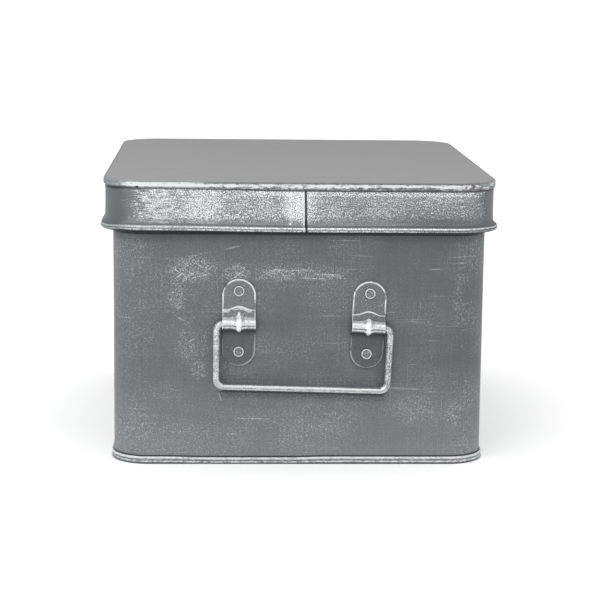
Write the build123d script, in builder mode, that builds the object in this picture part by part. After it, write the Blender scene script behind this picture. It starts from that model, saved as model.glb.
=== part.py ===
import os
from math import atan2, degrees, sqrt

from build123d import *

# Metal storage box with a lift-off lid and a drop handle at each end, in millimetres.
# X runs across the photographed end, Y runs from that end to the far one, Z is up.
# The origin is the middle of the base, at the level of the surface that it stands on.

# Sheet metal
sheet = 0.6                 # thickness of every wall, panel and band
seam_gap = 0.05             # play between two sheets that are folded together
slit_width = 0.5            # open line where the two ends of a band meet
lap_width = 10.0            # tongue behind that line, which both ends are soldered to

# Body of the box
body_width = 200.0          # outside the walls, along X
body_depth = 240.0          # outside the walls, along Y
body_corner = 19.0          # outside corner radius of the walls
overall_height = 153.0      # from the table to the top of the closed lid
body_seam_x = 0.0           # place of the upright seam in the far end wall
rim_wire = 1.8              # wire in the rolled top edge of the walls
roll_turn = 285.0           # degrees that a sheet is rolled round its wire

# Base
base_rim_height = 4.05      # folded rim seen round the foot of the walls
base_rim_proud = 1.2        # two thicknesses of sheet outside the walls
base_recess = 3.0           # the floor stands this far above the table
base_rim_round = 0.5        # rounding of the folded rim's edges
fold_radius = 0.2           # inside radius at the bottom of the fold

# Lid
lid_play = 1.05             # room all round between the walls' rolled edge and the lid's band
lid_rim_height = 4.3        # height of the rim turned down round the panel
lid_rim_gap = 0.25          # crevice between that rim and the band
band_seam_x = 2.0           # place of the band's seam in the near end
bead_wire = 2.0             # wire in the rolled lower edge of the band
bead_bottom = 126.1         # height of the bead's underside
bead_proud = 2.55           # the bead stands this far outside the band
flare_height = 4.4          # the band starts to flare this far above the bead's middle
lid_seat_gap = 0.3          # clearance between the closed lid and the walls' top edge

# Handles
handle_height = 76.1        # height of the pin axis above the table
pin_standoff = 3.0          # distance of the pin axis from the end wall
grip_wire = 3.6             # wire of the handle
grip_top_width = 92.6       # between the middles of the legs, at the pin axis
grip_foot_width = 91.4      # between the middles of the legs, at the bar
grip_drop = 34.1            # from the pin axis to the middle of the bar
upper_bend = 3.5            # bend radius between a pin and its leg
lower_bend = 4.2            # bend radius between a leg and the bar
pin_head = 4.8              # diameter of the upset head that keeps a pin in its clip
pin_head_length = 2.6
pin_head_round = 0.6

# Clips
clip_spacing = 68.9         # between the middles of a handle's two clips
clip_width = 17.8
clip_length = 47.0
clip_sheet = 0.8
clip_sag = 0.7              # the strap's middle lies this far below the middle of its rivets
pin_play = 0.5              # clearance round the wire inside the knuckle
knuckle_ramp = 3.8          # outside radius where the knuckle's upper side leaves the strap
knuckle_blend = 2.2         # outside radius where its lower side comes back to the strap
boss_width = 6.4            # pressed swelling over the pin's head
boss_play = 0.8             # clearance round that head
boss_ramp = 5.1             # outside radius where the swelling's upper side leaves the strap
boss_blend = 2.2            # outside radius where its lower side comes back to the strap

# Rivets
rivet_spacing = 32.7        # between a clip's two rivets
rivet_shank = 3.0
rivet_fit = 0.05            # radial clearance of the shank in its holes
rivet_head = 5.8
rivet_head_height = 0.8
rivet_dish = 3.3            # diameter of the dished middle
rivet_dish_depth = 0.5
rivet_dish_slope = 30.0     # degrees that the dish's side leans out
rivet_round = 0.35          # rounding of the head's edges
rivet_foot = 5.2            # head closed on the inside of the wall
rivet_foot_height = 0.7

# How each handle sits on its wall: sideways shift and tilt, the turn of its two clips, and how
# far the middle of each clip's rivets lies above the pin axis
handle_places = {
    "front": {"shift": 1.9, "tilt": -1.4, "clip_turns": (1.2, -1.1), "clip_rises": (1.15, 1.75)},
    "rear": {"shift": 0.0, "tilt": 0.0, "clip_turns": (0.0, 0.0), "clip_rises": (1.45, 1.45)},
}

# Worked out from the values above
panel_underside = overall_height - sheet
bead_radius = bead_wire / 2 + seam_gap + sheet
bead_height = bead_bottom + bead_radius
rim_radius = rim_wire / 2 + seam_gap + sheet
rim_proud = 2 * rim_radius - sheet
band_proud = rim_proud + lid_play + sheet
lid_proud = band_proud + lid_rim_gap + sheet
wall_top = panel_underside - lid_seat_gap
wall_foot = sheet + fold_radius
floor_top = base_recess + sheet
knuckle_crown = grip_wire / 2 + pin_play
boss_crown = pin_head / 2 + boss_play
rivet_hole = rivet_shank + 2 * rivet_fit


end_faces = {
    "front": Plane(origin=(0, -body_depth / 2, 0), x_dir=(1, 0, 0), z_dir=(0, -1, 0)),
    "rear": Plane(origin=(0, body_depth / 2, 0), x_dir=(-1, 0, 0), z_dir=(0, 1, 0)),
}

os.makedirs("parts", exist_ok=True)


def outline(proud=0.0, mode=Mode.ADD):
    """The walls' outline seen from above, grown outward by the same amount all round."""
    width = body_width + 2 * proud
    depth = body_depth + 2 * proud
    return RectangleRounded(width, depth, body_corner + proud, mode=mode)


def loop(proud, height):
    """The closed line of that outline at a given height."""
    with BuildSketch(Plane.XY.offset(height), mode=Mode.PRIVATE) as shape:
        outline(proud)
    return shape.sketch.wire()


def square_to(path):
    """The plane across a loop at its start, with x pointing out of the box and y up."""
    along = path % 0
    outward = Vector(along.Y, -along.X, 0)
    if outward.dot(path @ 0) < 0:
        outward = -outward
    return Plane(origin=path @ 0, x_dir=outward, z_dir=outward.cross(Vector(0, 0, 1)))


def spot(face, across, up, turn=0.0):
    """A plane on a wall face, moved along it and turned about its normal."""
    return Plane(face.location * Location((across, up, 0), (0, 0, turn)))


def side_of(face, across=0.0):
    """A plane square to a wall face, with x up the wall and y out of it."""
    origin = face.from_local_coords((across, 0, 0))
    return Plane(origin=origin, x_dir=face.y_dir, z_dir=face.x_dir)


def save(piece, name):
    """Name a finished piece and write its file."""
    piece.part.label = name
    export_step(piece.part, f"parts/{name}.step")


# Where the handles, their clips and their rivets sit
handle_planes = {}
clip_planes = {}
strap_planes = {}
rivet_planes = {}
for end, place in handle_places.items():
    handle = spot(end_faces[end], place["shift"], handle_height, place["tilt"])
    handle_planes[end] = handle
    for side, sign, turn, rise in zip(
        ("left", "right"), (-1, 1), place["clip_turns"], place["clip_rises"]
    ):
        clip = spot(handle, sign * clip_spacing / 2, 0, turn)
        clip_planes[f"{end}_{side}"] = clip
        strap_planes[f"{end}_{side}"] = spot(clip, 0, rise - clip_sag, 90)
        for level, step in (("upper", 1), ("lower", -1)):
            up = rise + step * rivet_spacing / 2
            rivet_planes[f"{end}_{side}_{level}"] = spot(clip, 0, up)


# Walls: one sheet bent round four corners, its top edge rolled outward over a wire
wall_path = loop(0, 0)
rim_middle = wall_top - rim_radius
with BuildPart() as body_wall:
    with BuildSketch(square_to(wall_path)) as wall_section:
        with BuildLine() as wall_line:
            Line((-sheet / 2, wall_foot), (-sheet / 2, rim_middle))
            CenterArc((rim_radius - sheet, rim_middle), rim_radius - sheet / 2, 180, -roll_turn)
        trace(line_width=sheet)
    sweep(path=wall_path)
    with BuildSketch(Plane.XZ.offset(-body_depth / 2 - rim_proud)) as wall_slit:
        with Locations((body_seam_x, overall_height / 2)):
            Rectangle(slit_width, overall_height)
    extrude(amount=rim_proud + sheet, mode=Mode.SUBTRACT)
    with BuildSketch(Plane.XZ.offset(sheet - body_depth / 2)) as wall_lap:
        with Locations((body_seam_x, (floor_top + rim_middle) / 2)):
            Rectangle(lap_width, rim_middle - floor_top)
    extrude(amount=sheet)
    for place in rivet_planes.values():
        with BuildSketch(place):
            Circle(rivet_hole / 2)
        extrude(amount=-2 * sheet, mode=Mode.SUBTRACT)
save(body_wall, "body_wall")

# Wire inside the rolled top edge of the walls
rim_wire_path = loop(rim_radius - sheet, rim_middle)
with BuildPart() as body_rim_wire:
    with BuildSketch(square_to(rim_wire_path)):
        Circle(rim_wire / 2)
    sweep(path=rim_wire_path)
save(body_rim_wire, "body_rim_wire")

# Base: a recessed floor whose edge is folded down, under the walls and up round their foot
with BuildPart() as base_pan:
    with BuildSketch():
        outline(base_rim_proud)
    extrude(amount=base_rim_height)
    fillet(base_pan.edges().group_by(Axis.Z)[0], base_rim_round)
    fillet(base_pan.edges().group_by(Axis.Z)[-1], base_rim_round)
    with BuildSketch(Plane.XY.offset(floor_top)):
        outline()
    extrude(amount=base_rim_height, mode=Mode.SUBTRACT)
    with BuildSketch(Plane.XY.offset(sheet)):
        outline()
        outline(-sheet - seam_gap, mode=Mode.SUBTRACT)
    extrude(amount=base_rim_height, mode=Mode.SUBTRACT)
    with BuildSketch():
        outline(-2 * sheet - seam_gap)
    extrude(amount=base_recess, mode=Mode.SUBTRACT)
save(base_pan, "base_pan")

# Lid's band: one sheet bent round four corners, its lower edge flared and rolled in over a wire
band_path = loop(band_proud, 0)
bead_middle_x = bead_proud - bead_radius
flare_top = bead_height + flare_height
flare_radius = (bead_middle_x ** 2 + flare_height ** 2 - bead_radius ** 2) / (
    2 * (bead_middle_x + bead_radius)
)
flare_turn = degrees(atan2(flare_height, flare_radius - bead_middle_x))
band_front = body_depth / 2 + band_proud
with BuildPart() as lid_band:
    with BuildSketch(square_to(band_path)) as band_section:
        with BuildLine() as band_line:
            Line((-sheet / 2, panel_underside), (-sheet / 2, flare_top))
            CenterArc((flare_radius, flare_top), flare_radius + sheet / 2, 180, flare_turn)
            CenterArc((bead_middle_x, bead_height), bead_radius - sheet / 2, flare_turn, -roll_turn)
        trace(line_width=sheet)
    sweep(path=band_path)
    with BuildSketch(Plane.XZ.offset(band_front - 2 * bead_radius)) as band_slit:
        with Locations((band_seam_x, overall_height / 2)):
            Rectangle(slit_width, overall_height)
    extrude(amount=4 * bead_radius, mode=Mode.SUBTRACT)
    with BuildSketch(Plane.XZ.offset(band_front - 2 * sheet)) as band_lap:
        with Locations((band_seam_x, (flare_top + panel_underside) / 2)):
            Rectangle(lap_width, panel_underside - flare_top)
    extrude(amount=sheet)
save(lid_band, "lid_band")

# Wire inside the band's rolled lower edge
bead_wire_path = loop(band_proud + bead_middle_x, bead_height)
with BuildPart() as lid_bead_wire:
    with BuildSketch(square_to(bead_wire_path)):
        Circle(bead_wire / 2)
    sweep(path=bead_wire_path)
save(lid_bead_wire, "lid_bead_wire")

# Lid's top panel: a flat sheet with its edge turned down round the band
with BuildPart() as lid_top_panel:
    with BuildSketch(Plane.XY.offset(overall_height)):
        outline(lid_proud)
    extrude(amount=-lid_rim_height)
    fillet(lid_top_panel.edges().group_by(Axis.Z)[-1], sheet + lid_rim_gap)
    offset(amount=-sheet, openings=lid_top_panel.faces().sort_by(Axis.Z)[0])
save(lid_top_panel, "lid_top_panel")


def blend_foot(crown, blend):
    """How far a blend's foot is from the pin axis, and the angle where the blend meets the crown."""
    reach = sqrt((crown + blend) ** 2 - (blend - pin_standoff) ** 2)
    return reach, degrees(atan2(blend - pin_standoff, reach))


def hump(plane, crown, ramp, blend, depth):
    """Cross-section of a knuckle pressed up from a strap: its inner side, or depth further out.

    The crown goes round the pin axis, a long ramp runs into it from the strap above, and a
    shorter blend brings it back to the strap below.
    """
    up, up_lean = blend_foot(crown, ramp)
    down, down_lean = blend_foot(crown, blend)
    foot = depth - clip_sheet
    with BuildSketch(plane) as section:
        with BuildLine():
            CenterArc((-down, blend), blend - depth, 270, 90 - down_lean)
            CenterArc((0, pin_standoff), crown + depth, 180 - down_lean, up_lean + down_lean - 180)
            CenterArc((up, ramp), ramp - depth, 180 + up_lean, 90 - up_lean)
            Polyline((up, depth), (up, foot), (-down, foot), (-down, depth))
        make_face()
    return section.sketch


def knuckle(clip, across, depth):
    """The knuckle's cross-section at a distance across its clip."""
    ramp = knuckle_ramp + clip_sheet
    return hump(side_of(clip, across), knuckle_crown, ramp, knuckle_blend + clip_sheet, depth)


def boss(clip, depth):
    """Cross-sections of the swelling over the pin's head: knuckle, full swelling, knuckle."""
    ramp = boss_ramp + clip_sheet
    middle = hump(side_of(clip), boss_crown, ramp, boss_blend + clip_sheet, depth)
    return [knuckle(clip, -boss_width / 2, depth), middle, knuckle(clip, boss_width / 2, depth)]


# Clips: a riveted strap with half-round ends, pressed up over the handle's pin
for name, clip in clip_planes.items():
    with BuildPart() as handle_clip:
        with BuildSketch(strap_planes[name]):
            SlotOverall(clip_length, clip_width)
        extrude(amount=clip_sheet)
        extrude(knuckle(clip, -clip_width / 2, clip_sheet), amount=clip_width)
        loft(boss(clip, clip_sheet))
        extrude(knuckle(clip, -clip_width / 2, 0), amount=clip_width, mode=Mode.SUBTRACT)
        loft(boss(clip, 0), mode=Mode.SUBTRACT)
        for level in ("upper", "lower"):
            with BuildSketch(rivet_planes[f"{name}_{level}"]):
                Circle(rivet_hole / 2)
            extrude(amount=clip_sheet, mode=Mode.SUBTRACT)
    save(handle_clip, f"{name}_clip")

# Rivets: a low dished head on the strap, a shank, and a foot closed on the inside of the wall
for name, place in rivet_planes.items():
    with BuildPart() as rivet:
        with BuildSketch(place.offset(clip_sheet)):
            Circle(rivet_head / 2)
        extrude(amount=rivet_head_height)
        fillet(rivet.edges().sort_by(Axis(place.origin, place.z_dir))[-1], rivet_round)
        with BuildSketch(place.offset(clip_sheet + rivet_head_height)):
            Circle(rivet_dish / 2)
        extrude(amount=-rivet_dish_depth, taper=rivet_dish_slope, mode=Mode.SUBTRACT)
        with BuildSketch(place.offset(clip_sheet)):
            Circle(rivet_shank / 2)
        extrude(amount=-clip_sheet - sheet)
        with BuildSketch(place.offset(-sheet)):
            Circle(rivet_foot / 2)
        extrude(amount=-rivet_foot_height)
        fillet(rivet.edges().sort_by(Axis(place.origin, place.z_dir))[0], rivet_round)
    save(rivet, f"{name}_rivet")

# Handles: one wire bent to a wide loop, its two ends turned inward into the clips
for end, handle in handle_planes.items():
    pin = clip_spacing / 2 - pin_head_length / 2
    corners = [
        (-pin, 0),
        (-grip_top_width / 2, 0),
        (-grip_foot_width / 2, -grip_drop),
        (grip_foot_width / 2, -grip_drop),
        (grip_top_width / 2, 0),
        (pin, 0),
    ]
    bends = [upper_bend, lower_bend, lower_bend, upper_bend]
    with BuildPart() as grip:
        with BuildLine(handle.offset(pin_standoff)) as grip_line:
            FilletPolyline(*corners, radius=bends)
        wire = grip_line.wire()
        with BuildSketch(Plane(origin=wire @ 0, z_dir=wire % 0)):
            Circle(grip_wire / 2)
        sweep(path=wire)
        for tip, inward in ((wire @ 0, -(wire % 0)), (wire @ 1, wire % 1)):
            middle = tip - inward * pin_head_length / 2
            with BuildPart(Plane(origin=middle, z_dir=inward), mode=Mode.PRIVATE) as head:
                Cylinder(pin_head / 2, pin_head_length)
                fillet(head.edges().filter_by(GeomType.CIRCLE), pin_head_round)
            add(head.part)
    save(grip, f"{end}_handle")
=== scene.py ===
"""Dress a packed metal storage box: sheet shells, wire handles, riveted clips and silvered paint."""

from math import atan2, cos, hypot, pi, radians, sin, sqrt, tan

import bmesh
import bpy
from bmesh.types import BMEdge, BMVert
from bpy.props import FloatProperty, FloatVectorProperty, PointerProperty
from bpy.types import Operator, Panel, PropertyGroup
from mathutils import Matrix, Vector, noise


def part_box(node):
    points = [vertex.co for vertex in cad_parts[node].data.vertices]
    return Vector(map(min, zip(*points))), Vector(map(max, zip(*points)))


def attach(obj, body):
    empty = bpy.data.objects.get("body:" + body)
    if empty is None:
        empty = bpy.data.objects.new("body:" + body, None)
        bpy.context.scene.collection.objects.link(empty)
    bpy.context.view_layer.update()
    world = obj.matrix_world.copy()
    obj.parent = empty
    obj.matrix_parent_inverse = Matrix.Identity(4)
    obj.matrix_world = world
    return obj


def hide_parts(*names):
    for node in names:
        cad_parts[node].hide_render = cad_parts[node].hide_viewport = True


bl_info = {
    "name": "Metal Storage Box",
    "version": (1, 0, 0),
    "blender": (4, 5, 0),
    "location": "3D View > Sidebar > Storage Box",
    "description": "Builds the shells, handles and finishes of a sheet-metal storage box",
    "category": "Add Mesh",
}

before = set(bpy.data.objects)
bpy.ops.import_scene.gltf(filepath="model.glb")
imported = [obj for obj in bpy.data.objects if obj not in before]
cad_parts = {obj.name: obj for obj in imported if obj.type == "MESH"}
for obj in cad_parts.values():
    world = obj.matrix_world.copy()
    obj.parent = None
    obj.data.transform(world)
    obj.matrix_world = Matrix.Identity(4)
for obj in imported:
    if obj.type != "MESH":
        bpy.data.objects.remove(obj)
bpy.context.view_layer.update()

mm = 0.001
UP = Vector((0, 0, 1))

# Heights and reaches that come from the frame
lid_low, lid_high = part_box("lid_top_panel")
base_low, base_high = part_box("base_pan")


def length(description, default):
    """A size property, in metres, with its default in millimetres."""
    return FloatProperty(description=description, default=default * mm, unit="LENGTH", precision=5)


def colour(description, default):
    """A colour property."""
    return FloatVectorProperty(description=description, default=default, subtype="COLOR", size=3,
                               min=0, max=1)


class BoxSizes(PropertyGroup):
    """Sizes of the sheet-metal shells."""

    sheet: length("Thickness of every wall and panel", 0.6)
    width: length("Outside the walls, across the near end", 200)
    depth: length("Outside the walls, from end to end", 240)
    corner: length("Outside corner radius of the walls", 19)
    slit: length("Open line where a sheet's two ends meet", 0.5)
    lap: length("Width of the tongue behind a seam", 10)
    band_seam: length("Place of the band's seam across the near end", 2)
    wall_foot: length("Height of the walls' lower edge in its fold", 0.8)
    wall_top: length("Height of the walls' rolled top edge", 152.1)
    rim_roll: length("Outside radius of the walls' rolled edge", 1.55)
    bead_roll: length("Outside radius of the band's rolled bead", 1.65)
    band_proud: length("The band stands this far outside the walls", 4.15)
    bead_proud: length("The bead stands this far outside the band", 2.55)
    flare: length("Height of the flare above the bead's middle", 4.4)
    roll_turn: FloatProperty(description="How far a sheet is rolled round its wire",
                             default=radians(285), subtype="ANGLE")
    recess: length("Height of the floor's underside", 3)
    waver: length("How far hand-bent sheet strays from true", 0.16)
    rim_rise: length("The lid's rim is this much shorter at its near left corner", 0.9)
    rim_sag: length("The base's folded rim hangs this much lower near its middle", 0.45)


class HandleSizes(PropertyGroup):
    """Sizes of the drop handles, their clips and rivets."""

    pin_height: length("Height of the handles' pin axis", 76.1)
    standoff: length("Distance of the pin axis from the wall", 3)
    wire: length("Diameter of the handle wire", 3.6)
    top_width: length("Between the legs' middles at the pins", 92.6)
    foot_width: length("Between the legs' middles at the bar", 91.4)
    drop: length("From the pin axis to the bar's middle", 34.1)
    upper_bend: length("Bend radius below the pins", 3.5)
    lower_bend: length("Bend radius at the bar", 4.2)
    head: length("Diameter of the upset pin end", 4.8)
    head_length: length("Length of the upset pin end", 2.6)
    clip_spacing: length("Between the middles of two clips", 68.9)
    clip_width: length("Width of a clip's strap", 17.8)
    clip_length: length("Length of a clip's strap", 47)
    clip_sheet: length("Thickness of a clip's strap", 0.8)
    clip_sag: length("The strap's middle lies this far below its rivets'", 0.7)
    pin_play: length("Clearance round the wire in the knuckle", 0.5)
    knuckle_ramp: length("Radius above the knuckle", 3.8)
    knuckle_blend: length("Radius below the knuckle", 2.2)
    boss_play: length("Clearance round the pin's head", 0.8)
    boss_ramp: length("Radius above the swelling", 5.1)
    boss_blend: length("Radius below the swelling", 2.2)
    boss_width: length("Width of the swelling", 6.4)
    rivet_spacing: length("Between a clip's two rivets", 32.7)
    rivet_head: length("Diameter of a rivet's head", 5.8)
    rivet_rise: length("Height of a rivet's head", 0.8)
    rivet_shank: length("Diameter of a rivet's shank", 3)
    rivet_foot: length("Diameter of the head inside the wall", 5.2)
    rivet_foot_rise: length("Height of the head inside the wall", 0.7)


class FinishLook(PropertyGroup):
    """Colours of the finishes."""

    paint: colour("Grey-blue paint of the walls and base", (0.15, 0.163, 0.172))
    top_paint: colour("Matt paint of the lid's top", (0.25, 0.25, 0.25))
    band_paint: colour("Paint of the lid's band", (0.15, 0.163, 0.172))
    silver: colour("Dry-brushed and worn metal", (0.72, 0.75, 0.75))
    shade: colour("Dark of the crevices", (0.03, 0.033, 0.036))
    wire: colour("Bare drawn wire inside the rolled edges", (0.42, 0.42, 0.41))


class StageLook(PropertyGroup):
    """Camera and light."""

    lens: FloatProperty(description="Focal length in millimetres", default=111.74)
    roll: FloatProperty(description="Turn of the camera about its own axis", subtype="ANGLE",
                        default=radians(0.651))
    key: FloatProperty(description="Strength of the soft light above", default=1.1)
    fill: FloatProperty(description="Power of the softbox at the front", default=3.0, unit="POWER")
    sky: FloatProperty(description="Strength of the white surroundings", default=0.75)
    floor_glow: FloatProperty(description="Light that the white floor adds", default=0.15)


class BoxProject(PropertyGroup):
    """Everything that a user would change."""

    sizes: PointerProperty(type=BoxSizes)
    handles: PointerProperty(type=HandleSizes)
    look: PointerProperty(type=FinishLook)
    stage: PointerProperty(type=StageLook)


# How each handle sits on its end wall: sideways shift and tilt, the turn of its two clips, how
# far the middle of each clip's rivets lies above the pin axis, and how much softer its crease is
HANDLE_PLACES = {
    "front": {"shift": 1.9 * mm, "tilt": radians(-1.4), "turns": (radians(1.2), radians(-1.1)),
              "rises": (1.15 * mm, 1.75 * mm), "softer": (1.4 * mm, 0.0)},
    "rear": {"shift": 0.0, "tilt": 0.0, "turns": (0.0, 0.0), "rises": (1.45 * mm, 1.45 * mm),
             "softer": (0.0, 0.0)},
}
SIDES = ("left", "right")
LEVELS = ("upper", "lower")


class Value:
    """A shader socket, so that sums of sockets read as sums."""

    def __init__(self, finish, socket):
        self.finish = finish
        self.socket = socket

    def math(self, operation, *inputs, **settings):
        """A Math node on values and numbers."""
        inputs = dict(enumerate(inputs))
        return self.finish.node("ShaderNodeMath", inputs, operation=operation, **settings)

    def clamp(self):
        """This value held between 0 and 1."""
        return self.math("ADD", self, 0.0, use_clamp=True)

    def size(self):
        """This value without its sign."""
        return self.math("ABSOLUTE", self)

    def least(self, other):
        """This value, and never below another."""
        return self.math("MAXIMUM", self, other)

    def reach(self, other):
        """The long side of a right triangle with this value and another."""
        return (self * self + other * other) ** 0.5

    def ramp(self, low, high, start=0.0, stop=1.0):
        """0 below low and 1 above high, smoothly between them."""
        inputs = {"Value": self, "From Min": low, "From Max": high, "To Min": start, "To Max": stop}
        return self.finish.node("ShaderNodeMapRange", inputs, interpolation_type="SMOOTHSTEP")

    def fall(self, low, high):
        """1 below low and 0 above high, smoothly between them."""
        return self.ramp(low, high, 1.0, 0.0)

    def between(self, low, high, soft):
        """1 from low to high, falling off smoothly over soft on either side."""
        return self.ramp(low - soft, low) * self.fall(high, high + soft)


def arithmetic(operation):
    """What a sign does with a value before it and with a value after it."""
    return (lambda value, other: value.math(operation, value, other),
            lambda value, other: value.math(operation, other, value))


for sign, operation in (("add", "ADD"), ("sub", "SUBTRACT"), ("mul", "MULTIPLY"),
                        ("truediv", "DIVIDE"), ("pow", "POWER")):
    before, after = arithmetic(operation)
    setattr(Value, f"__{sign}__", before)
    setattr(Value, f"__r{sign}__", after)


class Finish:
    """One procedural material, written from its coordinates up."""

    def __init__(self, name):
        self.material = bpy.data.materials.new(name)
        self.material.use_nodes = True
        self.tree = self.material.node_tree
        self.tree.nodes.clear()
        self.place = self.node("ShaderNodeTexCoord", output="Object")
        spread = self.node("ShaderNodeSeparateXYZ", {"Vector": self.place})
        self.x, self.y, self.z = (Value(self, spread.socket.node.outputs[i]) for i in range(3))

    def node(self, kind, inputs=None, output=0, **settings):
        """Add a node: its settings first, then the values or links of its sockets."""
        made = self.tree.nodes.new(kind)
        for key, setting in settings.items():
            setattr(made, key, setting)
        for key, value in (inputs or {}).items():
            if isinstance(value, Value):
                self.tree.links.new(value.socket, made.inputs[key])
            else:
                made.inputs[key].default_value = value
        return Value(self, made.outputs[output]) if made.outputs else None

    def grain(self, scale, seed, detail=3.0, roughness=0.55, turn=0.0):
        """Noise of one frequency per metre, or of one each along X, Y and Z, turned about Y."""
        place = self.place
        scale = scale if isinstance(scale, tuple) else (scale,) * 3
        if turn:
            place = self.node("ShaderNodeVectorRotate", {"Vector": place, "Angle": turn},
                              rotation_type="Y_AXIS")
        scaled = self.node("ShaderNodeVectorMath", {0: place, 1: scale}, operation="MULTIPLY")
        shifted = self.node("ShaderNodeVectorMath", {0: scaled, 1: (seed,) * 3}, operation="ADD")
        inputs = {"Vector": shifted, "Scale": 1.0, "Detail": detail, "Roughness": roughness}
        return self.node("ShaderNodeTexNoise", inputs)

    def spot(self, x, z, half_x, half_z, turn=0.0):
        """1 inside an ellipse on an end wall, in millimetres and degrees, fading to 0 outside."""
        slope = radians(turn)
        over = self.x - x * mm
        above = self.z - z * mm
        along = (over * cos(slope) + above * sin(slope)) / (half_x * mm)
        across = (above * cos(slope) - over * sin(slope)) / (half_z * mm)
        return along.reach(across).fall(0.35, 1.0)

    def spots(self, marks):
        """Several spots together, each with its strength last."""
        return sum(self.spot(*mark[:-1]) * mark[-1] for mark in marks)

    def inset(self, half_x, half_y, corner):
        """How far a point lies inside a rounded outline seen from above."""
        over_x = (self.x.size() - (half_x - corner)).least(0)
        over_y = (self.y.size() - (half_y - corner)).least(0)
        return corner - over_x.reach(over_y)

    def mix(self, factor, first, second):
        """Blend two colours."""
        first, second = (c if isinstance(c, Value) else (*c, 1.0) for c in (first, second))
        return self.node("ShaderNodeMix", {0: factor, 6: first, 7: second}, output=2,
                         data_type="RGBA")

    def tones(self, factor, colour, dark, light):
        """One colour, between a darker and a lighter tone."""
        dark, light = (tuple(strength * c for c in colour) for strength in (dark, light))
        return self.mix(factor.clamp(), dark, light)

    def attribute(self, name):
        """A float attribute of the piece."""
        return self.node("ShaderNodeAttribute", output="Fac", attribute_name=name)

    def shade(self, base, roughness, metallic=0.0, height=None, depth=0.0, strength=1.0, more=None):
        """Close the material with one Principled shader, uneven by a depth in millimetres."""
        inputs = {"Base Color": base, "Roughness": roughness, "Metallic": metallic, **(more or {})}
        if height:
            bump = {"Height": height, "Distance": depth * mm, "Strength": strength}
            inputs["Normal"] = self.node("ShaderNodeBump", bump)
        shader = self.node("ShaderNodeBsdfPrincipled", inputs)
        self.node("ShaderNodeOutputMaterial", {"Surface": shader})
        return self.material


def only(kind, geometry):
    """The verts or the edges in what an operator gives back."""
    return [g for g in geometry if isinstance(g, kind)]


class SheetWork:
    """A sheet drawn in section at the near wall, then bent round the box's four corners."""

    def __init__(self, sizes, proud, seam=0.0, slit=0.0):
        self.bm = bmesh.new()
        self.near = sizes.depth / 2 + proud
        self.side = sizes.width / 2 + proud
        self.corner = sizes.corner + proud
        self.start = seam + slit / 2
        self.stop = seam - slit / 2
        self.closed = slit == 0
        self.end = None

    def begin(self, out, height):
        """Put down the section's first point."""
        self.end = self.bm.verts.new((self.start, -self.near - out, height))
        return self

    def run(self, out, height, steps=1):
        """Draw the section straight on to a point."""
        way = (Vector((self.start, -self.near - out, height)) - self.end.co) / steps
        for _ in range(steps):
            made = bmesh.ops.extrude_vert_indiv(self.bm, verts=[self.end])
            self.end = made["verts"][0]
            bmesh.ops.translate(self.bm, verts=[self.end], vec=way)
        return self

    def roll(self, out, height, turn, steps):
        """Roll the section round a centre; a positive turn goes from outward to up."""
        centre = (self.start, -self.near - out, height)
        made = bmesh.ops.spin(self.bm, geom=[self.end], cent=centre, axis=(-1, 0, 0),
                              angle=turn, steps=steps)
        self.end = only(BMVert, made["geom_last"])[0]
        return self

    def bend_round(self):
        """Carry the section along the four sides and round the four corners."""
        bm = self.bm
        step = 6 * mm
        corner_steps = 14
        flat_x = self.side - self.corner
        flat_y = self.near - self.corner
        runs = [(flat_x - self.start, 0), (0, 2 * flat_y), (-2 * flat_x, 0), (0, -2 * flat_y),
                (self.stop + flat_x, 0)]
        pins = [(flat_x, -flat_y), (flat_x, flat_y), (-flat_x, flat_y), (-flat_x, -flat_y)]
        carried = bm.verts[:] + bm.edges[:]
        for number, (along_x, along_y) in enumerate(runs):
            steps = max(1, round(max(abs(along_x), abs(along_y)) / step))
            way = Vector((along_x / steps, along_y / steps, 0))
            for _ in range(steps):
                made = bmesh.ops.extrude_edge_only(bm, edges=only(BMEdge, carried))["geom"]
                moved = only(BMVert, made)
                bmesh.ops.translate(bm, verts=moved, vec=way)
                carried = moved + only(BMEdge, made)
            if number < len(pins):
                made = bmesh.ops.spin(bm, geom=carried, cent=(*pins[number], 0), axis=(0, 0, 1),
                                      angle=pi / 2, steps=corner_steps)
                carried = made["geom_last"]
        if self.closed:
            bmesh.ops.remove_doubles(bm, verts=bm.verts[:], dist=0.001 * mm)
        self.face_out()
        return self

    def face_out(self):
        """Turn the sheet's outer side away from the box."""
        bm = self.bm
        bmesh.ops.recalc_face_normals(bm, faces=bm.faces[:])
        bm.normal_update()
        upright = (f for f in bm.faces if abs(f.normal.z) < 0.2)
        facing = sum(f.calc_area() * f.normal.dot(flat_outward(f.calc_center_median(), self))
                     for f in upright)
        if facing < 0:
            bmesh.ops.reverse_faces(bm, faces=bm.faces[:])

    def thicken(self, sheet):
        """Give the drawn outer side its sheet."""
        bmesh.ops.solidify(self.bm, geom=self.bm.faces[:], thickness=sheet)
        return self

    def rear_seam(self):
        """Turn the box so that the seam is at the far end."""
        bmesh.ops.rotate(self.bm, verts=self.bm.verts[:], cent=(0, 0, 0),
                         matrix=Matrix.Rotation(pi, 3, "Z"))
        return self


def flat_outward(point, work):
    """Level direction away from the box's core, for a point on its outline."""
    flat_x = work.side - work.corner
    flat_y = work.near - work.corner
    core = Vector((max(-flat_x, min(flat_x, point.x)), max(-flat_y, min(flat_y, point.y)), 0))
    away = Vector((point.x, point.y, 0)) - core
    return away.normalized() if away.length > 0 else Vector((0, 0, 0))


def held(number):
    """A number held between 0 and 1."""
    return min(1, max(0, number))


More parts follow.
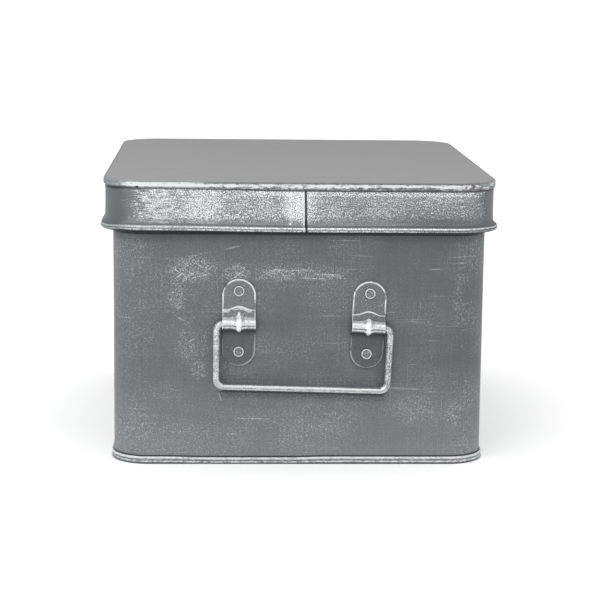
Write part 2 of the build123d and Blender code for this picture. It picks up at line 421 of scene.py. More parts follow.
def hand_bent(work, amount, low, high):
    """Let the drawn sheet stray inward a little, as sheet bent by hand does."""
    for vert in work.bm.verts:
        if not low < vert.co.z < high:
            continue
        slow = noise.noise(vert.co * 14) + 0.5 * noise.noise(vert.co * 37 + Vector((5, 1, 3)))
        away = flat_outward(vert.co, work)
        fade = min(1, (vert.co.z - low) / (8 * mm), (high - vert.co.z) / (8 * mm))
        vert.co -= away * amount * fade * held(0.5 + 0.7 * slow)


def add_block(bm, low, high):
    """A rectangular strip of sheet between two corners."""
    low = Vector(low)
    high = Vector(high)
    made = bmesh.ops.create_cube(bm, size=1)
    bmesh.ops.scale(bm, verts=made["verts"], vec=high - low)
    bmesh.ops.translate(bm, verts=made["verts"], vec=(low + high) / 2)
    edges = list({e for v in made["verts"] for e in v.link_edges})
    bmesh.ops.bevel(bm, geom=edges, offset=0.1 * mm, offset_type="OFFSET", segments=1,
                    profile=0.5, affect="EDGES", material=-1)


def add_object(name, data):
    """An object in the scene."""
    made = bpy.data.objects.new(name, data)
    bpy.context.scene.collection.objects.link(made)
    return made


def add_mesh(name, bm, material):
    """An object in the scene, made of a bmesh."""
    mesh = bpy.data.meshes.new(name)
    bm.normal_update()
    bm.to_mesh(mesh)
    bm.free()
    mesh.materials.append(material)
    return add_object(name, mesh)


def stand(name, data, place, aim, roll=0):
    """A light or a camera at a place, turned to an aim and then about its own axis."""
    made = add_object(name, data)
    made.location = place
    made.rotation_mode = "QUATERNION"
    looking = (Vector(aim) - Vector(place)).to_track_quat("-Z", "Y")
    made.rotation_quaternion = looking @ Matrix.Rotation(roll, 3, "Z").to_quaternion()
    return made


def add_light(name, kind, energy, place, aim, **settings):
    """A studio light at a place, turned to an aim."""
    light = bpy.data.lights.new(name, kind)
    light.energy = energy
    for key, value in settings.items():
        setattr(light, key, value)
    stand(name, light, place, aim)


def put_in_scene(bm, finish, body, slot_name, *nodes, name=None):
    """Make a piece of a bmesh: smooth shading, finish, body and the CAD nodes it replaces; the slot
    name is not used.
    """
    piece = add_mesh(name or nodes[0].capitalize(), bm, finish_of(finish))
    piece.data.shade_smooth()
    piece.data.set_sharp_from_angle(angle=radians(38))
    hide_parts(*nodes)
    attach(piece, body)


def end_wall(end, sizes, handles):
    """The frame of a handle on its end wall: x to the right, y up, z outward."""
    place = HANDLE_PLACES[end]
    facing = Matrix.Rotation(0 if end == "front" else pi, 4, "Z")
    stand = Matrix.Translation((place["shift"], -sizes.depth / 2, handles.pin_height))
    upright = Matrix.Rotation(pi / 2, 4, "X")
    return facing @ stand @ upright @ Matrix.Rotation(place["tilt"], 4, "Z")


def clip_place(end, side, sizes, handles):
    """The frame of a clip on its end wall."""
    sign = -1 if side == "left" else 1
    turn = HANDLE_PLACES[end]["turns"][SIDES.index(side)]
    shifted = Matrix.Translation((sign * handles.clip_spacing / 2, 0, 0))
    return end_wall(end, sizes, handles) @ shifted @ Matrix.Rotation(turn, 4, "Z")


def make_top_panel(sizes):
    """The flat top with its edge turned down round the band."""
    rim_foot = lid_low.z
    top = lid_high.z
    proud = lid_high.y - sizes.depth / 2
    edge = 0.85 * mm
    work = SheetWork(sizes, proud)
    work.begin(-0.3 * mm, rim_foot).run(-0.05 * mm, rim_foot + 0.45 * mm, 2)
    work.run(0, rim_foot + 1.2 * mm, 2).run(0, top - edge - 0.9 * mm, 4)
    work.run(0, top - edge, 2)
    work.roll(-edge, top - edge, pi / 2, 8)
    work.run(-2 * mm, top, 2).run(-9 * mm, top, 4)
    work.bend_round()
    hand_bent(work, 0.1 * mm, rim_foot - 9 * mm, top - 0.2 * mm)
    bm = work.bm
    for vert in bm.verts:
        share = held(-vert.co.x / (70 * mm))
        share *= held((-vert.co.y - 60 * mm) / (50 * mm))
        hanging = held((top - 2 * mm - vert.co.z) / (top - 2 * mm - rim_foot))
        vert.co.z += sizes.rim_rise * share * hanging
    rim = [e for e in bm.edges if e.is_boundary and all(v.co.z > top - 0.1 * mm for v in e.verts)]
    bmesh.ops.edgeloop_fill(bm, edges=rim)
    work.face_out()
    work.thicken(sizes.sheet)
    return bm


def make_band(sizes):
    """The lid's band: flared and rolled in over its wire, with an open seam at the near end."""
    bead_x = sizes.bead_proud - sizes.bead_roll
    bead_z = 127.75 * mm
    flare_top = bead_z + sizes.flare
    reach = bead_x + sizes.bead_roll
    flare_radius = (bead_x ** 2 + sizes.flare ** 2 - sizes.bead_roll ** 2) / (2 * reach)
    flare_turn = atan2(sizes.flare, flare_radius - bead_x)
    top = lid_high.z - sizes.sheet
    work = SheetWork(sizes, sizes.band_proud, sizes.band_seam, sizes.slit)
    work.begin(0, top).run(0, flare_top, 8)
    work.roll(flare_radius, flare_top, flare_turn, 8)
    work.roll(bead_x, bead_z, -sizes.roll_turn, 34)
    work.bend_round()
    hand_bent(work, sizes.waver, flare_top, top)
    work.thicken(sizes.sheet)
    lap_face = -work.near + sizes.sheet
    half = sizes.lap / 2
    add_block(work.bm, (sizes.band_seam - half, lap_face, flare_top),
              (sizes.band_seam + half, lap_face + sizes.sheet, top))
    return work.bm


def make_walls(sizes):
    """The walls: one sheet, rolled outward over its wire at the top, seamed at the far end."""
    roll_z = sizes.wall_top - sizes.rim_roll
    inside = sizes.rim_roll - sizes.sheet
    work = SheetWork(sizes, 0, 0, sizes.slit)
    work.begin(0, sizes.wall_foot).run(0, roll_z, 26)
    work.roll(inside, roll_z, -sizes.roll_turn, 26)
    work.bend_round()
    hand_bent(work, sizes.waver, base_high.z, roll_z)
    work.thicken(sizes.sheet)
    lap_face = -work.near + sizes.sheet
    half = sizes.lap / 2
    add_block(work.bm, (-half, lap_face, sizes.recess + sizes.sheet),
              (half, lap_face + sizes.sheet, roll_z))
    return work.rear_seam().bm


def rim_sag(x, sizes):
    """How much lower the base's rim hangs at a place along the near end."""
    return sizes.rim_sag * max(0, min(1, (x + 70 * mm) / (20 * mm), (14 * mm - x) / (20 * mm)))


def make_base(sizes):
    """The recessed floor, its edge folded down, under the walls and up round their foot."""
    proud = base_high.y - sizes.depth / 2
    rim_top = base_high.z
    fold = sizes.sheet + 0.05 * mm
    skirt = 2 * sizes.sheet + 0.05 * mm
    floor_top = sizes.recess + sizes.sheet
    margin = 9 * mm
    chamfer = 0.2 * mm
    foot_round = 0.5 * mm
    top_round = 0.6 * mm
    tuck_round = 0.25 * mm
    hollow = proud - 0.08 * mm
    work = SheetWork(sizes, 0)
    work.begin(-margin, sizes.recess).run(-skirt, sizes.recess, 2).run(-skirt, chamfer, 2)
    work.run(-skirt + chamfer, 0).run(proud - foot_round, 0, 3)
    work.roll(proud - foot_round, foot_round, pi / 2, 4)
    work.run(hollow, 1.4 * mm, 2).run(hollow, rim_top - 1.5 * mm, 3)
    work.run(proud, rim_top - top_round, 2)
    work.roll(proud - top_round, rim_top - top_round, pi / 2, 6)
    work.run(tuck_round, rim_top).roll(tuck_round, rim_top - tuck_round, pi / 2, 3)
    work.run(0, sizes.sheet, 3).run(-fold, sizes.sheet).run(-fold, floor_top, 2)
    work.run(-margin, floor_top, 2)
    work.bend_round()
    bm = work.bm
    true_below = 2.2 * mm
    for vert in bm.verts:
        if vert.co.y < -work.near + 0.01 * mm and vert.co.z > true_below:
            share = (vert.co.z - true_below) / (rim_top - true_below)
            vert.co.z -= rim_sag(vert.co.x, sizes) * share
    for height in (sizes.recess, floor_top):
        rim = [e for e in bm.edges
               if e.is_boundary and all(abs(v.co.z - height) < 0.01 * mm for v in e.verts)]
        bmesh.ops.edgeloop_fill(bm, edges=rim)
    bmesh.ops.recalc_face_normals(bm, faces=bm.faces[:])
    return bm


def bend_wire(bm, corners, bends, radius, head, head_length):
    """Bend a wire along corners in the XY plane; both ends are upset to a head."""
    way = (corners[1] - corners[0]).normalized()
    swollen = head / 2 / radius
    worn = 0.88
    rounding = 0.3 * mm
    neck = head_length - 2 * rounding
    made = bmesh.ops.create_circle(bm, cap_ends=True, segments=28, radius=radius * swollen * worn)
    turn = UP.rotation_difference(way).to_matrix()
    bmesh.ops.rotate(bm, verts=made["verts"], cent=(0, 0, 0), matrix=turn)
    bmesh.ops.translate(bm, verts=made["verts"], vec=corners[0])
    carried = bm.edges[:]

    def draw(distance, steps, swell=1):
        nonlocal carried
        for _ in range(steps):
            made = bmesh.ops.extrude_edge_only(bm, edges=carried)["geom"]
            verts = only(BMVert, made)
            carried = only(BMEdge, made)
            bmesh.ops.translate(bm, verts=verts, vec=way * distance / steps)
            middle = sum((v.co for v in verts), Vector()) / len(verts)
            bmesh.ops.scale(bm, verts=verts, vec=(swell,) * 3, space=Matrix.Translation(-middle))

    def draw_straight(distance):
        draw(distance, max(1, round(distance / (3 * mm))))

    def draw_head(first, last):
        for distance, steps, swell in ((rounding, 1, first), (neck, 3, 1), (rounding, 1, last)):
            draw(distance, steps, swell)

    draw_head(1 / worn, 1 / swollen)
    trimmed = head_length
    for here, there, beyond, bend in zip(corners, corners[1:], corners[2:], bends):
        way = (there - here).normalized()
        onward = (beyond - there).normalized()
        angle = way.angle(onward)
        tail = bend * tan(angle / 2)
        draw_straight((there - here).length - trimmed - tail)
        side = UP.cross(way)
        sign = 1 if side.dot(onward) > 0 else -1
        verts = list({v for e in carried for v in e.verts})
        made = bmesh.ops.spin(bm, geom=verts + carried, axis=UP * sign, angle=angle, steps=12,
                              cent=there - way * tail + side * sign * bend)
        carried = only(BMEdge, made["geom_last"])
        trimmed = tail
    last = corners[-1] - corners[-2]
    way = last.normalized()
    draw_straight(last.length - trimmed - head_length)
    draw_head(swollen, worn)
    bmesh.ops.edgeloop_fill(bm, edges=carried)
    bmesh.ops.recalc_face_normals(bm, faces=bm.faces[:])


# What the wire's finish reads off each vert, the last in millimetres
HANDLE_LAYERS = ("facing_up", "facing_right", "above_bar")


def make_handle(end, sizes, handles):
    """A wide wire loop whose ends turn inward into the clips."""
    pin = handles.clip_spacing / 2 - handles.head_length / 2
    top = handles.top_width / 2
    foot = handles.foot_width / 2
    corners = [Vector((-pin, 0, 0)), Vector((-top, 0, 0)), Vector((-foot, -handles.drop, 0)),
               Vector((foot, -handles.drop, 0)), Vector((top, 0, 0)), Vector((pin, 0, 0))]
    bends = [handles.upper_bend, handles.lower_bend, handles.lower_bend, handles.upper_bend]
    bm = bmesh.new()
    bend_wire(bm, corners, bends, handles.wire / 2, handles.head, handles.head_length)
    bm.normal_update()
    layers = [bm.verts.layers.float.new(name) for name in HANDLE_LAYERS]
    facing = 1 if end == "front" else -1
    for vert in bm.verts:
        values = (vert.normal.y, vert.normal.x * facing, (vert.co.y + handles.drop) / mm)
        for layer, value in zip(layers, values):
            vert[layer] = value
    place = end_wall(end, sizes, handles) @ Matrix.Translation((0, 0, handles.standoff))
    bmesh.ops.transform(bm, matrix=place, verts=bm.verts[:])
    return bm


def half_strap(handles, end, crown, blend):
    """Height from the pin and off the wall, from a strap's end to its crown, and its lean there."""
    end_round = handles.clip_width / 2
    radius = blend - handles.clip_sheet
    foot = sqrt((crown + blend) ** 2 - (blend - handles.standoff) ** 2)
    lean = atan2(blend - handles.standoff, foot)
    straight = end - end_round
    flat = [straight + end_round * cos(k / 16 * pi / 2) for k in range(16)]
    flat += [straight + (foot - straight) * k / 10 for k in range(10)]
    turns = [(pi / 2 - lean) * k / 12 for k in range(12)]
    rising = [(foot - radius * sin(turn), blend - radius * cos(turn)) for turn in turns]
    return [(up, handles.clip_sheet) for up in flat] + rising, lean


def strap_line(handles, rise, crown, ramp, blend):
    """Height up the strap and height off the wall, from its top end to its foot."""
    top = handles.clip_length / 2 + rise - handles.clip_sag
    upper, start = half_strap(handles, top, crown, ramp)
    lower, stop = half_strap(handles, handles.clip_length - top, crown, blend)
    outer = crown + handles.clip_sheet
    turns = [start + (pi - start - stop) * k / 28 for k in range(29)]
    over = [(outer * cos(turn), handles.standoff + outer * sin(turn)) for turn in turns]
    return upper + over + [(-up, off) for up, off in reversed(lower)]


# What the straps' finish reads off each vert, the first four in millimetres
CLIP_LAYERS = ("edge_distance", "lift", "across", "up", "facing_up")


def make_clip(end, side, sizes, handles):
    """A strap with half-round ends, pressed up over the pin and swollen over the pin's head."""
    rise = HANDLE_PLACES[end]["rises"][SIDES.index(side)]
    flat = handles.clip_sheet
    softer = flat + HANDLE_PLACES[end]["softer"][SIDES.index(side)]
    knuckle = strap_line(handles, rise, handles.wire / 2 + handles.pin_play,
                         handles.knuckle_ramp + softer, handles.knuckle_blend + flat)
    boss = strap_line(handles, rise, handles.head / 2 + handles.boss_play,
                      handles.boss_ramp + softer, handles.boss_blend + flat)
    half = handles.clip_width / 2
    straight = handles.clip_length / 2 - half
    columns = 60
    rounded = 0.25 * mm
    bm = bmesh.new()
    bmesh.ops.create_grid(bm, x_segments=columns, y_segments=len(knuckle) - 1, size=0.5)
    layers = [bm.verts.layers.float.new(name) for name in CLIP_LAYERS]
    for vert in bm.verts:
        across = half * sin(pi * vert.co.x)
        row = round((0.5 - vert.co.y) * (len(knuckle) - 1))
        widened = 1 + 0.75 * held((knuckle[row][0] - 2 * mm) / (4 * mm))
        spread = 0.62 * handles.boss_width * widened
        swell = 0.5 + 0.5 * cos(pi * min(1, abs(across) / spread))
        up = knuckle[row][0] + (boss[row][0] - knuckle[row][0]) * swell
        off = knuckle[row][1] + (boss[row][1] - knuckle[row][1]) * swell
        past = max(0, abs(up - rise + handles.clip_sag) - straight)
        chord = sqrt(max(0, 1 - (past / half) ** 2))
        across *= chord
        vert.co = Vector((across, up, off))
        for layer, value in zip(layers, (half - hypot(across, past), off - flat, across, up)):
            vert[layer] = value / mm
    bmesh.ops.remove_doubles(bm, verts=bm.verts[:], dist=0.002 * mm)
    bmesh.ops.recalc_face_normals(bm, faces=bm.faces[:])
    bm.normal_update()
    if sum(f.normal.z * f.calc_area() for f in bm.faces) < 0:
        bmesh.ops.reverse_faces(bm, faces=bm.faces[:])
    shown = [(vert, vert.normal.copy()) for vert in bm.verts]
    for vert, normal in shown:
        vert[layers[-1]] = normal.y
    bmesh.ops.solidify(bm, geom=bm.faces[:], thickness=flat)
    for vert, normal in shown:
        inset = rounded - min(rounded, vert[layers[0]] * mm)
        vert.co -= normal * (rounded - sqrt(max(0, rounded ** 2 - inset ** 2)))
    bmesh.ops.transform(bm, matrix=clip_place(end, side, sizes, handles), verts=bm.verts[:])
    return bm


def make_rivet(end, side, level, sizes, handles):
    """A dished head, a shank through strap and wall, and a closed foot inside."""
    head = handles.rivet_head / 2
    rise = handles.clip_sheet + handles.rivet_rise
    under = handles.clip_sheet
    back = -sizes.sheet
    foot = handles.rivet_foot / 2
    closed = back - handles.rivet_foot_rise
    # Radius and depth below the head's highest ring, in millimetres
    dish = ((0, 0.36), (0.9, 0.38), (1.6, 0.46), (1.95, 0.44), (2.12, 0.22), (2.24, 0.05), (2.4, 0),
            (2.6, 0.05), (2.78, 0.2))
    points = [(radius * mm, rise - low * mm) for radius, low in dish]
    points += [(head, rise - 0.42 * mm), (head, under), (handles.rivet_shank / 2, under),
               (handles.rivet_shank / 2, back), (foot, back), (foot, back - 0.35 * mm),
               (foot - 0.12 * mm, back - 0.55 * mm), (foot - 0.45 * mm, closed),
               (1.0 * mm, closed), (0, closed)]
    bm = bmesh.new()
    verts = [bm.verts.new((radius, 0, height)) for radius, height in points]
    edges = [bm.edges.new(pair) for pair in zip(verts, verts[1:])]
    bmesh.ops.spin(bm, geom=verts + edges, cent=(0, 0, 0), axis=(0, 0, 1), angle=2 * pi,
                   steps=40, use_merge=True)
    bmesh.ops.remove_doubles(bm, verts=bm.verts[:], dist=0.001 * mm)
    bmesh.ops.recalc_face_normals(bm, faces=bm.faces[:])
    ring = bm.verts.layers.float.new("from_axis")
    for vert in bm.verts:
        vert[ring] = hypot(vert.co.x, vert.co.y) / mm
    sign = 1 if level == "upper" else -1
    up = HANDLE_PLACES[end]["rises"][SIDES.index(side)] + sign * handles.rivet_spacing / 2
    place = clip_place(end, side, sizes, handles) @ Matrix.Translation((0, up, 0))
    bmesh.ops.transform(bm, matrix=place, verts=bm.verts[:])
    return bm


# Scuffs on the near wall in millimetres and degrees: middle, half length, half height, turn,
# strength
SCUFFS = (
    (-12, 105.2, 9, 1.1, -1, 0.6), (2, 105.6, 9, 0.7, 0, 0.65),
    (15, 103.2, 9.5, 0.6, -3, 0.75), (13, 101.2, 16, 0.6, 0, 0.75),
    (17, 102.2, 9, 0.5, -2, 0.6), (-22, 93, 3, 0.4, 0, 0.3),
    (-25.5, 24.9, 12.5, 0.5, -1, 0.6), (-36, 16.4, 4.5, 0.5, 0, 0.9),
    (71.5, 106.3, 4.6, 0.4, 0, 0.5), (87.5, 109.5, 4, 0.5, -2, 0.45),
    (64.1, 86.6, 0.4, 3.6, 0, 0.5), (-42.4, 36.7, 0.5, 3.8, 20, 0.7),
    (-53, 114, 7, 0.6, 12, 0.6), (-36, 117.5, 6, 0.5, 14, 0.5),
    (-64, 79.5, 3.6, 0.5, -32, 0.8), (-60, 77.4, 2.6, 0.5, -30, 0.7),
)
# Patches of the same wall that were rubbed in circles: middle, half width, half height, strength
RUBBED = (
    (-57.5, 105.5, 15, 8.5, 0.95), (-33.5, 103.5, 9, 6, 0.9), (-10, 103.5, 20, 5.5, 0.55),
    (-66, 92, 7, 12, 0.45), (12, 104, 16, 6, 0.35),
    (-60, 66, 7, 12, 0.35), (-54, 51, 6, 7, 0.45), (60, 30, 22, 10, 0.25),
    (84, 28, 9, 12, 0.35), (86, 92, 6, 20, 0.3), (8, 24, 34, 12, 0.2),
)
# Crimps in the lid's turned-down rim: middle, half width, half height, turn, brighter, or darker as
# painted shade in the crimp
RIM_MARKS = (
    (-86, 149.9, 1.3, 1, 0, -0.8), (-84.4, 150.6, 1.9, 0.5, 38, 1),
    (-91, 151.4, 2.6, 0.5, -6, 0.8), (-98, 150.6, 3, 0.5, 8, 0.35),
    (86.4, 150.4, 1, 1.2, 0, -0.7), (88.2, 151, 1.3, 0.8, 40, 1),
    (90.4, 150.2, 0.9, 1.3, 0, -0.7), (92.6, 151.2, 1.6, 0.7, -30, 0.9),
    (-0.5, 150.4, 1.2, 1, 0, 0.9), (31, 150, 2.4, 0.6, 0, -0.5),
)


def clip_shade(finish, handles):
    """Painted shade on the walls round the straps, inside the handles' loops and below their bars,
    with a painted strip of light just above each bar.
    """
    handle_shade_and_light = 0.0
    straight = (handles.clip_length - handles.clip_width) / 2
    for end, place in HANDLE_PLACES.items():
        facing = 1 if end == "front" else -1
        wall = (finish.y * -facing).ramp(0.11, 0.119)
        right = finish.x * facing - place["shift"]
        up = finish.z - handles.pin_height
        rings = 0.0
        for number, turned in enumerate(place["turns"]):
            turn = place["tilt"] + turned
            across = (number - 0.5) * handles.clip_spacing
            over = right - across
            above = up - across * sin(place["tilt"]) - place["rises"][number] + handles.clip_sag
            along = (above * cos(turn) - over * sin(turn)).size()
            aside = over * cos(turn) + above * sin(turn)
            away = ((along - straight).least(0).reach(aside) - handles.clip_width / 2) / mm
            # Painted shadow: a soft dark halo round each strap, darkest at its edge
            rings = away.fall(0.0, 3.0) * 0.45 + away.fall(0.0, 0.8) + rings
        bar = (up - right * tan(place["tilt"]) + handles.drop) / mm
        side = (right.size() - handles.foot_width / 2) / mm
        # Painted shade on the wall inside the loop, beside each leg
        inner = side.between(-4.5, -1.0, 2.5) * bar.fall(26, 32) * bar.ramp(-1.0, 0.0)
        # Painted shadow just below the bar and a wider one under it, faint painted shade higher
        # above it and a painted strip of light right above it
        along_bar = bar.between(-3.3, -0.8, 0.6) * 0.7
        along_bar += bar.ramp(-7.6, -4.0) * bar.fall(-0.8, 0.8) * 2.3
        along_bar += bar.between(4.0, 5.5, 1.5) * 0.35 - bar.between(0.6, 2.2, 0.8) * 1.3
        handle_shade_and_light = (rings + along_bar * side.fall(-3.0, 0.0) + inner * 0.9) * wall + handle_shade_and_light
    return handle_shade_and_light


def wall_finish(look, sizes, handles):
    """The walls' paint, flecked and scuffed with silver, with painted shade under the lid's bead,
    above the base's rim and round the handles, and painted light towards the foot.
    """
    finish = Finish("Wall_paint")
    x, y, z = finish.x, finish.y, finish.z
    near = y.fall(-0.1196, -0.1185)
    fine = finish.grain(1500, 41, detail=2)
    flecks = finish.grain(1250, 43, detail=2, roughness=0.7)
    patches = finish.grain((26, 26, 34), 45, detail=3)
    level = finish.grain((45, 45, 1500), 47, detail=3)
    upright = finish.grain((1300, 1300, 36), 49, detail=2)
    leaning = finish.grain((110, 110, 1500), 51, detail=3, turn=radians(34))
    crossing = finish.grain((110, 110, 1500), 53, detail=3, turn=radians(-31))
    swirls = leaning.ramp(0.56, 0.7) + crossing.ramp(0.56, 0.7) + flecks.ramp(0.5, 0.66) * 0.8
    streaked = flecks.ramp(0.4, 0.66) * 0.45 + level.ramp(0.4, 0.62) * 0.4
    scuffed = near * (finish.spots(SCUFFS) * streaked + finish.spots(RUBBED) * swirls * 0.62)
    low = z.fall(0.005, 0.062)
    sprinkled = flecks.ramp(0.5, 0.74) * (0.07 + patches.ramp(0.38, 0.62) * 0.28 + low * 0.14)
    sprinkled *= 1.1 - x.ramp(-0.01, 0.06) * near * 0.55
    hairs = level.ramp(0.62, 0.76) * 0.3 + upright.ramp(0.64, 0.78) * 0.2
    silvered = (scuffed + sprinkled + hairs * patches.ramp(0.42, 0.6)).clamp()
    # Painted shadow below the lid's bead, fainter higher up where the lid covers the wall
    lid_shadow = z.ramp(0.119, 0.125) * 0.5 + z.ramp(0.1239, 0.1246) * 0.45
    lid_shadow *= 1 - z.ramp(0.1285, 0.134) * 0.74
    # Painted shade in the crevice above the base's rim, following the rim's sag
    sag = x.between(-0.05, -0.006, 0.02) * near * sizes.rim_sag
    rim_crevice_shade = (z + sag).fall(0.0044, 0.005) * 0.9
    handle_shade_and_light = clip_shade(finish, handles)
    # Painted light: lighter towards the foot and just above the base's rim, darker towards the
    # right, and darker by the painted shade round the handles
    light = 0.21 + low * 0.6 - x * 1.3 * (1 - low) + (patches - 0.5) * 0.55
    light += (fine - 0.5) * 1.1 + (level - 0.5) * 0.35 + (upright - 0.5) * 0.4
    light += z.fall(0.004, 0.016) * 0.18 - handle_shade_and_light * 0.3
    painted = finish.tones(light, look.paint, 0.58, 1.18)
    # All the painted shade together, its deepest part made darker still by the metallic term
    dark = (lid_shadow + rim_crevice_shade + (handle_shade_and_light - 2).clamp() * 0.8).clamp()
    shaded = finish.mix(dark, painted, look.shade)
    out = finish.mix(silvered * (1 - dark), shaded, look.silver)
    height = fine * 0.5 + level * 0.3 + flecks * 0.3
    metallic = silvered * (1 - dark) * 0.45 + dark ** 4
    return finish.shade(out, 0.5 - silvered * 0.1, metallic, height, 0.04, 0.5)


def base_finish(look, sizes):
    """The folded rim's paint: two worn lines along it, a painted shadow where it meets the table."""
    finish = Finish("Base_paint")
    x, y, z = finish.x, finish.y, finish.z
    mottle = finish.grain((400, 400, 900), 61, detail=4, roughness=0.65)
    fine = finish.grain(1300, 63, detail=2)
    near = y.fall(-0.1205, -0.115)
    hung = z + x.between(-0.05, -0.006, 0.02) * near * sizes.rim_sag
    upper = hung.between(0.0031, 0.0039, 0.0002) * (0.5 + mottle.ramp(0.34, 0.54) * 0.7)
    worn = 0.1 + x.ramp(-0.02, 0.06) * 0.25
    lower = hung.between(0.0013, 0.0018, 0.0002) * (mottle.ramp(0.4, 0.6) * 0.75 + worn)
    face = (mottle * 0.6 + fine * 0.4).ramp(0.46, 0.66) * 0.35
    silvered = (upper + lower + face).clamp()
    # Painted shadow along the rim's foot, where it meets the table
    contact_shadow = z.fall(0.0005, 0.0011)
    painted = finish.tones(fine.ramp(0.3, 0.7), look.paint, 0.85, 1.45)
    out = finish.mix(silvered, painted, look.silver)
    out = finish.mix(contact_shadow * 0.85, out, look.shade)
    height = mottle * 0.6 + fine * 0.4
    return finish.shade(out, 0.46 - silvered * 0.12, silvered * 0.6, height, 0.06, 0.6)


def band_finish(look, sizes):
    """The band's paint: dry-brushed silver, heavy left of the seam, thin round the corners, with
    painted highlights on the bead and painted shade in the crevices, the seam and under the bead.
    """
    finish = Finish("Band_paint")
    x, y, z = finish.x, finish.y, finish.z
    near = y.fall(-0.1236, -0.115)
    leftward = x.fall(-0.07, 0)
    raised = leftward * near * sizes.rim_rise
    low_z = z - raised * 0.8
    speck = finish.grain(1750, 71, detail=2, roughness=0.6)
    brushed = finish.grain((260, 260, 1500), 73, detail=4, roughness=0.6)
    slow = finish.grain((34, 34, 60), 75, detail=2)
    left = x.between(-0.079, 0.0018, 0.01)
    bright = x.between(-0.074, -0.052, 0.02)
    by_seam = x.between(-0.005, 0.0018, 0.007) * x.fall(0.0015, 0.003)
    right = x.between(0.0024, 0.084, 0.01)
    fading = x.fall(0.01, 0.09)
    swept = x.fall(-0.078, -0.045)
    cover = left * 0.46 + bright * 0.34 + by_seam * 0.34 + right * (0.14 + fading * 0.18)
    front = y.fall(-0.11, -0.085)
    corner = (1 - x.ramp(-0.099, -0.086) + x.ramp(0.094, 0.103)) * front
    under_rim = z.ramp(0.1448, 0.1462) * x.ramp(-0.045, -0.01) * near
    aside = x.size().ramp(0.1032, 0.1038) * y.size().fall(0.085, 0.112)
    rear = y.ramp(0.1236, 0.124) * x.size().fall(0.07, 0.094)
    cover = near * cover + (slow - 0.5) * 0.6 + (aside + rear) * 0.42 - corner * 0.8 - 0.12
    cover += under_rim * 0.45
    flare = (z - x.ramp(0, 0.05) * 1.4 * mm).fall(0.1302, 0.1346)
    cover -= flare * 0.35
    mixed = speck * (0.72 - swept * 0.35) + brushed * (0.28 + swept * 0.35)
    silvered = (mixed + (cover - 0.5) * 0.15).ramp(0.42, 0.6) * (1 - flare * 0.75)
    silvered += by_seam * near * z.ramp(0.1335, 0.137) * 0.3
    bead = low_z.fall(0.1294, 0.13)
    # Worn silver on the bead with painted highlights: a bright line on its upper front and a second
    # on its lower half
    bead_wear_and_highlights = low_z.between(0.1283, 0.1288, 0.0002) * (0.75 + mixed.ramp(0.4, 0.58) * 0.4)
    lower = low_z.between(0.1266, 0.1274, 0.0003) * mixed.ramp(0.4, 0.58)
    bead_wear_and_highlights += lower * (0.8 - x.ramp(0.045, 0.08) * 0.5)
    # Painted shade in the crease between the flare and the bead
    crease = low_z.between(0.1293, 0.13, 0.0004) * near * (1 - corner * 0.5)
    dot = finish.spot(-5.9, 130.8, 0.9, 0.8) * near
    silvered = (silvered * (1 - bead) + bead_wear_and_highlights * bead * (1 - corner * 0.35) + dot).clamp()
    # Paint tone, with painted shade round the near corners where the band curves away
    tone = near * 0.4 + (speck - 0.5) * 1.1 + (slow - 0.5) * 0.5 - corner * 0.3
    tone += near * flare * (0.22 - x.ramp(0.01, 0.08) * 0.45)
    painted = finish.tones(tone, look.band_paint, 0.62, 1.7)
    metal = finish.tones(speck.ramp(0.38, 0.6), look.silver, 0.6, 1.22)
    out = finish.mix(silvered, painted, metal)
    lean = x - sizes.band_seam - (0.15 - z) * 0.026
    # Painted shade in the seam's open slit
    slit = lean.size().fall(0.45 * mm, 0.75 * mm) * near
    worn_edge = lean.between(-0.0015, -0.0007, 0.0004) * near * 0.7
    # Painted shade in the crevice under the top's rim
    crevice = (z - raised).ramp(0.1475, 0.1481) * (0.93 - leftward * near * 0.15)
    crevice += crease * 0.45
    # Painted shadow under the bead
    under = low_z.fall(0.1266, 0.1271)
    # Painted shade on the tongue behind the seam
    behind = y.between(-0.1237, -0.12, 0.0002) * x.size().fall(0.012, 0.014)
    out = finish.mix(worn_edge, out, look.silver)
    # All the painted shade together, its deepest part made darker still by the metallic term
    dark = (crevice + under + slit + behind).clamp()
    out = finish.mix(dark * 0.94, out, look.shade)
    height = speck * 0.6 + brushed * 0.4
    metallic = silvered * (1 - dark) * 0.55 + dark ** 4
    return finish.shade(out, 0.48 - silvered * 0.14, metallic, height, 0.05, 0.6)


